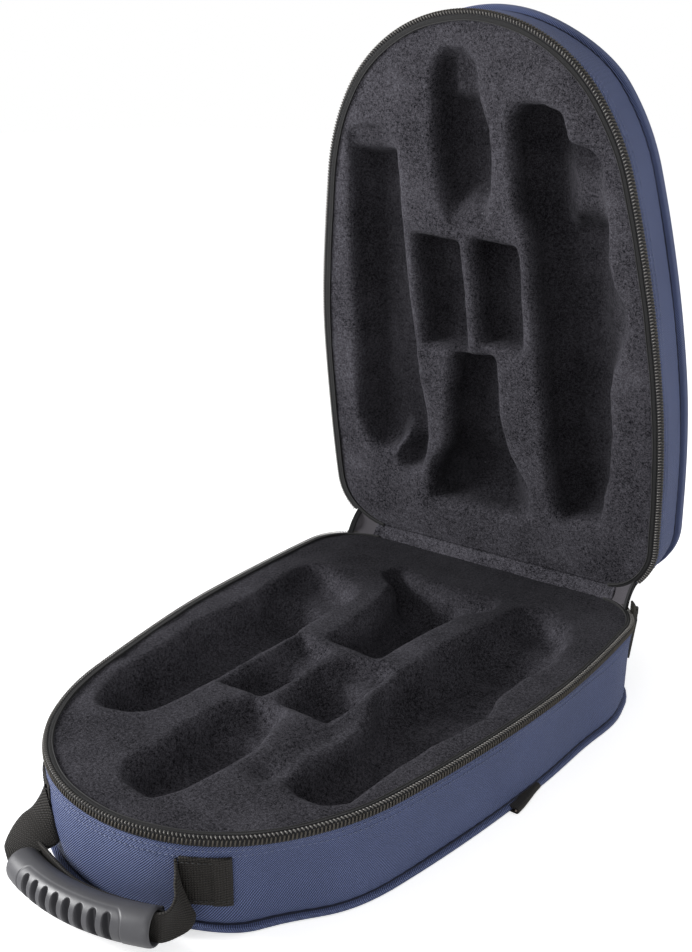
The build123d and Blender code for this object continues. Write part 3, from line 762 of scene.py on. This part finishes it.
def plush_insert(half):
    """Plush over moulded foam: the pressed grid, uneven all over, with a skirt down its sides and a flat back."""
    seed, seam = (0, BASE_SEAM) if half == "base" else (1, LID_SEAM)
    x, y = insert_grid()
    px, py, fall = pressed_pockets(half, x, y)
    soft = 0.45 * unevenness(px, py, 46.0, 3 + seed) + 0.22 * unevenness(px, py, 17.0, 7 + seed)
    soft = soft + 0.10 * unevenness(px, py, 6.0, 11 + seed)
    depth = PLUSH_TOP + fall + soft * (0.6 + 0.8 * np.clip(fall / 10.0, 0, 1))
    shift = np.clip(fall, 0, 4) / 4
    px = px + shift * (0.5 * unevenness(px + 40, py, 26.0, 21 + seed) + 0.25 * unevenness(px, py, 9.0, 24 + seed))
    py = py + shift * (0.5 * unevenness(px, py + 70, 26.0, 22 + seed) + 0.25 * unevenness(px, py, 9.0, 25 + seed))
    floor = seam - INSERT_GAP
    depth = np.minimum(depth, floor - 0.6)
    px, py, depth, dark = (np.pad(a, 3, mode="edge") for a in (px, py, depth, painted_pile_shade(half, x, y, fall)))
    past = lambda n: np.maximum(3 - np.arange(n), np.arange(n) - n + 4)
    ring = np.maximum.outer(past(px.shape[0]), past(px.shape[1]))
    depth = np.select([ring <= 0, ring == 1, ring == 2], [depth, depth + 1.2, depth * 0 + 12.0], floor)
    obj = grid_object(f"{half}_plush", HALVES[half](np.stack([px, py, depth], -1)))
    # the 'fall' attribute holds the pile's painted shade, not the pocket's depth
    obj.data.attributes.new("fall", "FLOAT", "POINT").data.foreach_set("value", dark.reshape(-1).astype(np.float32))
    tidy_shell(obj, merge=0.005, close=True)
    return dress(obj, half, CHARCOAL_PLUSH, [f"{half}_insert"])


# ---- cloth and webbing ----

def smooth_path(points, count):
    """A Catmull-Rom curve through points, sampled evenly in its parameter."""
    p = np.array(points, float)
    p = np.concatenate([2 * p[:1] - p[1:2], p, 2 * p[-1:] - p[-2:-1]])
    at = np.linspace(0, len(points) - 1, count)
    k = np.minimum(at.astype(int), len(points) - 2)
    t = (at - k)[:, None]
    a, b, c, d = p[k], p[k + 1], p[k + 2], p[k + 3]
    return 0.5 * (2 * b + (c - a) * t + (2 * a - 5 * b + 4 * c - d) * t ** 2 + (3 * b - a - 3 * c + d) * t ** 3)


def grid_normals(points):
    """Unit normals of a grid of points, from its slopes both ways."""
    normal = np.cross(np.gradient(points, axis=0), np.gradient(points, axis=1))
    return normal / np.maximum(np.linalg.norm(normal, axis=-1, keepdims=True), 1e-9)


def thin_sheet(name, points, thick):
    """Cloth of some thickness over a grid of points: its two faces are joined round the edge."""
    normal = grid_normals(points)
    faces = np.concatenate([points + normal * thick / 2, (points - normal * thick / 2)[:, ::-1]], 1)
    u, v = run_length(points[:, points.shape[1] // 2]), run_length(points[len(points) // 2])
    obj = grid_object(name, faces, u, np.concatenate([v, v[::-1], v[:1]]), round_v=True)
    return tidy_shell(obj, close=True)


AWAY = np.array([0.0, cos(LID_OPEN / 2), -sin(LID_OPEN / 2)])


def hinge_sheet(name, s, deep, near, out, bow, thick, material, nodes=()):
    """Cloth that bridges the two halves, along the edge from one s to another round the back.

    Each cross-line is straight on both halves from a deep to a near depth, and between them it is a
    quadratic curve whose middle point is moved by bow times the gap, away from the inside.
    """
    s = np.where(s > HALF_EDGE, s - 2 * HALF_EDGE, s)
    depth = np.linspace(deep, near, 4)
    low, high = in_base(carried(s, out, depth)), in_lid(carried(s, out, depth))[:, ::-1]
    a, b = low[:, -1:], high[:, :1]
    gap = np.linalg.norm(b - a, axis=-1, keepdims=True)
    bend = quadratic(a, (a + b) / 2 + AWAY * gap * bow, b, np.linspace(0, 1, 11)[None, 1:-1, None])
    obj = thin_sheet(name, np.concatenate([low, bend, high], 1), thick)
    obj.data.materials.append(material)
    if nodes:
        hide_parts(*nodes)
    bend_with(obj)
    return obj


def bend_with(obj):
    """Write a piece's placement into its points, leaving the piece at the origin."""
    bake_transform(obj)


def fabric_hinge():
    """Outer cloth, inner lining and two corner gussets, shaped between the base and the open lid."""
    back = np.linspace(HINGE_START, 2 * HALF_EDGE - HINGE_START, 130)
    inside = np.linspace(LINING_START, 2 * HALF_EDGE - LINING_START, 130)
    outer = hinge_sheet("hinge_cloth", back, 9.0, 4.0, 0.35, -0.25, 0.9, BLACK_TAPE,
                        ["base_hinge_panel", "lid_hinge_panel", "hinge_fold"])
    lining = hinge_sheet("hinge_lining", inside, 3.4, 2.0, -4.2, 0.1, 0.8, CHARCOAL_PLUSH,
                         ["base_hinge_lining", "lid_hinge_lining"])
    for side, label in SIDES:
        s = np.linspace(ZIP_END + 1.0, LINING_START + 5.0, 30)
        gusset = hinge_sheet(f"hinge_gusset_{label}", s * side, 4.5, 1.2, -3.2, 0.18, 0.6, GREY_LINING)
        edge = hinge_sheet(f"gusset_edge_{label}", s[:6] * side - side * 0.8, 4.0, 1.0, -2.9, -0.12, 1.3, BLACK_TAPE)


# ---- handle ----

GRIP_R, GRIP_TURN = 144.0, radians(19.5)
GRIP_MID = np.array([3.0, -209.0, 15.6])
GRIP_LEAN = radians(-6.0)
GRIP_HALF_T, GRIP_HALF_H = 9.4, 9.1
GRIP_END = GRIP_R * GRIP_TURN
SLOT_TILT, SLOT_PITCH, SLOT_HALF_L, SLOT_HALF_W, SLOT_FLOOR = radians(-5), 7.9, 6.5, 2.1, 4.2


def grip_points(along, across):
    """Places round the grip's arc, leaning to one side: along from its middle, across the section (out, up)."""
    a = along / GRIP_R - pi / 2
    r = GRIP_R + across[..., 0]
    x, y, z = r * np.cos(a), GRIP_R + r * np.sin(a), across[..., 1]
    c, s = cos(GRIP_LEAN), sin(GRIP_LEAN)
    return GRIP_MID + np.stack([x * c + z * s, y, z * c - x * s], -1)


def handle_grip():
    """Moulded grip: an oval section round an arc, with eight slots pressed into its outer lower face.

    A slot is where the distance to its stadium is negative; there the surface moves back along the tilted
    facing to the slot's floor. A fine groove follows a rounded rectangle round all the slots, and the ends
    are rounded over into open mouths.
    """
    body = np.linspace(-GRIP_END + 3.0, GRIP_END - 3.0, 400)
    t = np.linspace(0, 1, 7)[1:]
    along = np.concatenate([body, GRIP_END - 3.0 + 3.0 * np.sin(t * pi / 2), GRIP_END - np.array([0.1, 1.2, 4, 8])])
    scale = np.concatenate([0 * body + 1, 1 - 0.12 * (1 - np.cos(t * pi / 2)), [0.84, 0.80, 0.78, 0.74]])
    along = np.concatenate([-along[:len(body) - 1:-1], along])
    scale = np.concatenate([scale[:len(body) - 1:-1], scale])
    turn = full_turn(116)
    section = np.stack([GRIP_HALF_T * np.cos(turn), GRIP_HALF_H * np.sin(turn)], -1)
    p = section[None] * scale[:, None, None]
    facing = np.array([cos(SLOT_TILT), -sin(SLOT_TILT)])
    level, q = p @ facing, p @ np.array([sin(SLOT_TILT), cos(SLOT_TILT)])
    w = along[:, None] + 0 * q
    near = w - SLOT_PITCH * (np.clip(np.round(w / SLOT_PITCH - 0.5), -4, 3) + 0.5)
    slot = np.hypot(np.maximum(np.abs(q) - (SLOT_HALF_L - SLOT_HALF_W), 0), near) - SLOT_HALF_W
    press = smoothstep((0.35 - slot) / 0.8) * (level > SLOT_FLOOR)
    box = np.stack([np.abs(w) - 30.5, np.abs(q) - 3.8], -1)
    panel = np.linalg.norm(np.maximum(box, 0), axis=-1) + np.minimum(box.max(-1), 0) - 4.4
    groove = 0.4 * hump(panel, 0, 0.32) + 0.18 * smoothstep(-panel / 0.6)
    drop = press * (level - SLOT_FLOOR) + (1 - press) * groove * (level > 0)
    p = p - facing * drop[..., None]
    obj = grid_object("handle_grip_shell", grip_points(w, p), round_v=True)
    tidy_shell(obj, close=True)
    return dress(obj, "handle", GREY_GRIP, ["handle_grip"])


# each strap's two selvages, from the wall to inside the grip's mouth
STRAPS = {
    "right": ([(44.5, -181.2, 43.2), (45.6, -182.4, 41.6), (48.0, -184.8, 39.0), (50.3, -187.8, 35.6),
        (53.6, -190.8, 32.9), (54.8, -194.0, 30.4), (54.6, -197.5, 28.9), (51.8, -200.3, 28.3),
        (46.0, -202.4, 27.2)],
        [(46.6, -180.9, 19.2), (50.0, -180.3, 18.4), (54.4, -180.2, 16.9), (56.4, -182.4, 14.6),
        (56.2, -186.0, 12.4), (54.6, -192.0, 11.8), (53.6, -197.5, 12.6), (51.2, -200.9, 12.8),
        (45.6, -203.2, 12.2)]),
    "left": ([(-50.0, -179.2, 43.2), (-52.6, -180.6, 36.6), (-55.3, -184.0, 30.5), (-59.7, -188.0, 25.4),
        (-60.9, -194.0, 19.9), (-58.2, -201.0, 15.5), (-52.4, -205.0, 14.3), (-46.8, -207.2, 13.6),
        (-41.0, -208.2, 13.0)],
        [(-38.0, -183.4, 19.2), (-35.6, -184.9, 18.3), (-35.4, -187.0, 17.5), (-36.9, -190.0, 16.9),
        (-38.2, -192.5, 16.0), (-40.6, -194.2, 14.2), (-42.8, -195.0, 12.2), (-44.0, -196.2, 10.6),
        (-39.0, -198.4, 10.4)]),
}


def webbing(name, band, cup):
    """Webbing over a ruled band: cupped by cup * (1 - v^2) along its normal, with ribs across its length."""
    v = np.linspace(-1, 1, band.shape[1])[None, :, None]
    bulge = cup * (1 - v ** 2) * np.sin(np.linspace(0, pi, len(band)))[:, None, None]
    ribs = 0.06 * np.sin(2 * pi * run_length(band[:, band.shape[1] // 2]) / 1.6)[:, None, None]
    obj = thin_sheet(name, band + grid_normals(band) * (bulge + ribs), WEBBING_THICK)
    obj.data.materials.append(BLACK_WEBBING)
    return obj


def handle_strap(label):
    """Webbing between the sewn patch and the grip's mouth, ruled between its two selvages."""
    upper, lower = (smooth_path(path, 110) for path in STRAPS[label])
    v = np.linspace(0, 1, 22)[None, :, None]
    cup = -1.2 if label == "right" else 1.2
    obj = webbing(f"handle_strap_{label}", upper[:, None] * (1 - v) + lower[:, None] * v, cup)
    if label == "right":
        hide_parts("handle_webbing")
    bend_with(obj)


def grip_webbing():
    """The webbing's stretch along the grip's back, whose upper selvage stands a little above the grip."""
    along = np.linspace(-GRIP_END - 0.5, GRIP_END - 1.0, 120)
    rise = 3.5 + 5.0 * smoothstep((-6.0 - along) / 36.0)
    up = -8.5 + (rise[:, None] + 8.5) * np.linspace(0, 1, 16)[None, :]
    back = -9.9 + 0.004 * up ** 2
    obj = webbing("grip_webbing", grip_points(along[:, None], np.stack([back, up], -1)), 0.0)
    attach(obj, "handle")


def handle_patch(side, label):
    """Webbing sewn to the nose: ribs run up it, and its far end is turned under and so thicker."""
    s = np.radians(np.linspace(25.9, 39.4, 100)) * NOSE_R
    depth = np.linspace(RIM_Z - 44.0, RIM_Z - 19.0, 40)
    turned = smoothstep((s - s[-1] + 9.5) / 1.0)
    soft = np.minimum(1, (s[-1] - s) / 1.2 + 0.3)
    out = 0.75 + 0.75 * turned * soft + 0.14 * np.sin(2 * pi * s / 1.35)
    hem = 0.15 * hump(depth, depth[0], 0.8) + 0.15 * hump(depth, depth[-1], 0.8)
    points = in_base(carried(s * side, out[:, None] - hem[None, :], depth))
    obj = thin_sheet(f"handle_patch_cloth_{label}", points, WEBBING_THICK)
    dress(obj, "base", BLACK_WEBBING, [f"handle_patch_{label}"])
    along = np.arange(s[0] + 2, s[-1] - 1, 2.6) * side
    for row, at in enumerate((depth[0] + 2.2, depth[-1] - 2.2)):
        stitch_row(f"patch_stitches_{label}_{row + 1}", along, 2.0, 0.25, 2.0, at, (0.1, 0), "base", THREAD_BLACK)


# ---- strap loops, boards, slider ----

LOOP_X, LOOP_Z, LOOP_FOLD, LOOP_TAPER = 125.4, 1.75, 1.35, 1.9


def strap_loop(side, label):
    """Flat webbing loop under the panel's edge, wrapped round a pale core; it narrows towards the back."""
    narrower = lambda y: LOOP_TAPER * smoothstep((y - 6.0) / 27.0)
    turn = np.linspace(-pi / 2, pi / 2, 22)
    outer = np.stack([LOOP_X + LOOP_FOLD * np.cos(turn), LOOP_Z + LOOP_FOLD * np.sin(turn)], -1)
    low = np.stack([np.linspace(112.0, 124.0, 14), np.linspace(0.8, 0.40, 14)], -1)
    high = np.stack([np.linspace(124.0, 112.0, 14), np.linspace(3.05, 2.5, 14)], -1)
    across, up = np.concatenate([low, outer, high]).T[..., None]
    y = np.linspace(3.0, 33.0, 44)[None, :]
    x = across - narrower(y) * smoothstep((across - 112.0) / 12.0)
    grid = np.stack(np.broadcast_arrays(x * side, y, up + 0.06 * np.sin(2 * pi * y / 1.4)), -1)
    obj = thin_sheet(f"strap_loop_webbing_{label}", grid, 0.8)
    dress(obj, "base", BLACK_WEBBING, [f"strap_loop_{label}"])
    ring = full_turn(24)
    y = np.linspace(2.4, 33.6, 30)[:, None]
    taper = np.sqrt(np.clip(1 - np.abs((y - 18.0) / 15.7) ** 14, 0.05, 1))
    x = side * (LOOP_X - 0.2 - narrower(y) + 0.95 * taper * np.cos(ring))
    core = np.stack(np.broadcast_arrays(x, y, LOOP_Z + 0.9 * taper * np.sin(ring)), -1)
    obj = tidy_shell(grid_object(f"strap_loop_core_{label}", core, round_v=True), close=True)
    dress(obj, "base", PALE_CORE)


def seam_cord(half, seam):
    """The cord between wall and panel, coloured dark as painted shade in the seam's groove."""
    loop = rounded_loop([(-3.2, seam - 1.0), (-0.55, seam - 1.0), (-0.55, seam + 0.2), (-3.2, seam + 0.2)], 0.3, 3)
    dress(round_edge(f"{half}_seam_cord", loop, half), half, SEAM_SHADE, [f"{half}_seam_welt"])


def board(half, seam, node):
    """The stiff board under the insert, cut to the case's inside."""
    x, y = (a[::6, ::6] * 0.985 for a in insert_grid())
    flat = np.stack([x, y, np.full_like(x, seam - 1.0)], -1)
    dress(thin_sheet(f"{half}_board", HALVES[half](flat), 2.0), half, BOARD, [node])


def softened(node, body, bevel):
    """A piece with a CAD node's shape and rounded edges, moved with the rim that it sits on."""
    obj = add_object(f"{node}_round", bpy.data.objects[node].data.copy())
    tidy_shell(obj, merge=0.001, smooth=False)
    x, y, z = vertex_places(obj.data).T * 1000
    obj.data.vertices.foreach_set("co", (in_base(np.stack([x, y, RIM_Z - z], -1)) * 0.001).reshape(-1))
    cut = obj.modifiers.new("rounded", "BEVEL")
    cut.width, cut.segments, cut.limit_method, cut.angle_limit = bevel * 0.001, 3, "ANGLE", radians(35)
    return dress(obj, body, SLIDER_METAL, [node])


# ---- build ----

for half, seam, board_node in (("base", BASE_SEAM, "base_floor_board"), ("lid", LID_SEAM, "lid_stiffener_board")):
    side_wall(half, seam)
    zipper_tape(half)
    zipper_coil(half)
    rim_binding(half)
    wall_stitches(half)
    plush_insert(half)
    seam_cord(half, seam)
    board(half, seam, board_node)
outer_panel("base", 2.2, BASE_SEAM, 2.8, 5.2, "base_bottom_panel")
outer_panel("lid", 2.4, LID_SEAM, 5.6, 2.6, "lid_top_panel")
fabric_hinge()
handle_grip()
grip_webbing()
for side, label in SIDES:
    handle_strap(label)
    handle_patch(side, label)
    strap_loop(side, label)
for node, body, bevel in (("slider_body", "slider", 0.45), ("slider_crown", "slider", 0.5), ("pull_tab", "pull", 0.35),
                          ("zipper_end_stops", "base", 0.4)):
    softened(node, body, bevel)


# ---- camera, floor and light ----

AMBIENT = 0.50
CAMERA_PLACE = (0.37654, -0.50722, 0.38764)
CAMERA_BACK, CAMERA_SIDE = (0.59378, -0.75430, 0.28011), (0.78575, 0.61855, 0)
CAMERA_ROLL = radians(-0.265)


def studio_camera():
    """A camera above the nose's right side; its axes are the columns of its matrix."""
    back, side = np.array(CAMERA_BACK), np.array(CAMERA_SIDE)
    up = np.cross(back, side)
    c, s = cos(CAMERA_ROLL), sin(CAMERA_ROLL)
    axes = np.stack([side * c + up * s, up * c - side * s, back, CAMERA_PLACE], -1)
    camera = add_object("camera", bpy.data.cameras.new("camera"))
    camera.matrix_world = Matrix(axes.tolist() + [[0, 0, 0, 1]])
    camera.data.lens = 43.87
    camera.data.shift_x, camera.data.shift_y = 0.0476, -0.0543
    camera.data.clip_start, camera.data.clip_end = 0.01, 20.0
    bpy.context.scene.camera = camera


def area_light(name, place, target, size, power):
    """A round soft light that faces its target."""
    data = bpy.data.lights.new(name, "AREA")
    data.shape, data.size, data.energy = "DISK", size, power
    aim = (Vector(place) - Vector(target)).to_track_quat("Z", "Y").to_matrix().to_4x4()
    add_object(name, data).matrix_world = Matrix.Translation(place) @ aim


def studio():
    """A pale floor under even light from all round, with three soft lights."""
    mesh = bpy.data.meshes.new("floor")
    mesh.from_pydata([(-8, -8, 0), (8, -8, 0), (8, 8, 0), (-8, 8, 0)], [], [(0, 1, 2, 3)])
    floor = add_object("floor", mesh)
    material, tree, shader, _ = start_material("floor_white", 0.9)
    set_values(shader, Base_Color=(0.90, 0.90, 0.90, 1), Specular_IOR_Level=0.0, Emission_Color=(1, 1, 1, 1))
    seen = tree.nodes.new("ShaderNodeLightPath").outputs["Is Camera Ray"]
    tree.links.new(calc(tree, "MULTIPLY", seen, 0.62), shader.inputs["Emission Strength"])
    mesh.materials.append(material)
    world = bpy.data.worlds.new("studio")
    bpy.context.scene.world = world
    world.use_nodes = True
    tree = world.node_tree
    seen = tree.nodes.new("ShaderNodeLightPath").outputs["Is Camera Ray"]
    background = tree.nodes["Background"]
    set_values(background, Color=(1, 1, 1, 1))
    tree.links.new(calc(tree, "MULTIPLY_ADD", seen, 1.0 - AMBIENT, AMBIENT), background.inputs["Strength"])
    area_light("key", (-1.5, -1.0, 0.85), (0, 0, 0.15), 0.7, 46)
    area_light("front", (0.3, -1.8, 0.6), (0, 0, 0.1), 1.2, 6)
    area_light("side", (1.8, 0.8, 0.35), (0, 0, 0.05), 1.2, 10)


studio_camera()
studio()
bpy.context.scene.view_settings.view_transform = "Standard"
bpy.context.scene.view_settings.look = "None"
